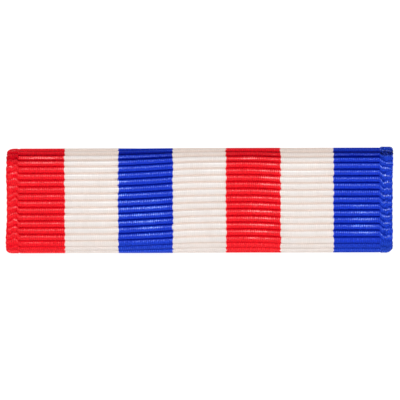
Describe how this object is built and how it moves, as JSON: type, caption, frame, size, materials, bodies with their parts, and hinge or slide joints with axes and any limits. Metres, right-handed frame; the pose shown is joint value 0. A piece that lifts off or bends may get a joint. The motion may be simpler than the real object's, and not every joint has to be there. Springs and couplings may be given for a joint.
{
  "type": "ribbon bar",
  "caption": "Slide-on ribbon bar: a ribbed ribbon striped in red, white and blue, wrapped round a folded brass carrier whose lips slide onto a mounting bar.",
  "frame": {"origin": "middle of the face that the bar rests on, its back", "axes": "+X across the stripes, from the outer red one to the outer blue one, +Y from the lower fold to the upper one, +Z out of the front"},
  "size_m": [0.035, 0.0096, 0.003],
  "materials": {
    "ribbon": "ribbed ribbon with a soft silky sheen, in woven stripes of red, white, blue, white, red, white and blue",
    "carrier": "thin rolled sheet brass, lightly brushed"
  },
  "bodies": {
    "root": {"ribbon": "ribbon", "carrier": "carrier"}
  },
  "joints": []
}
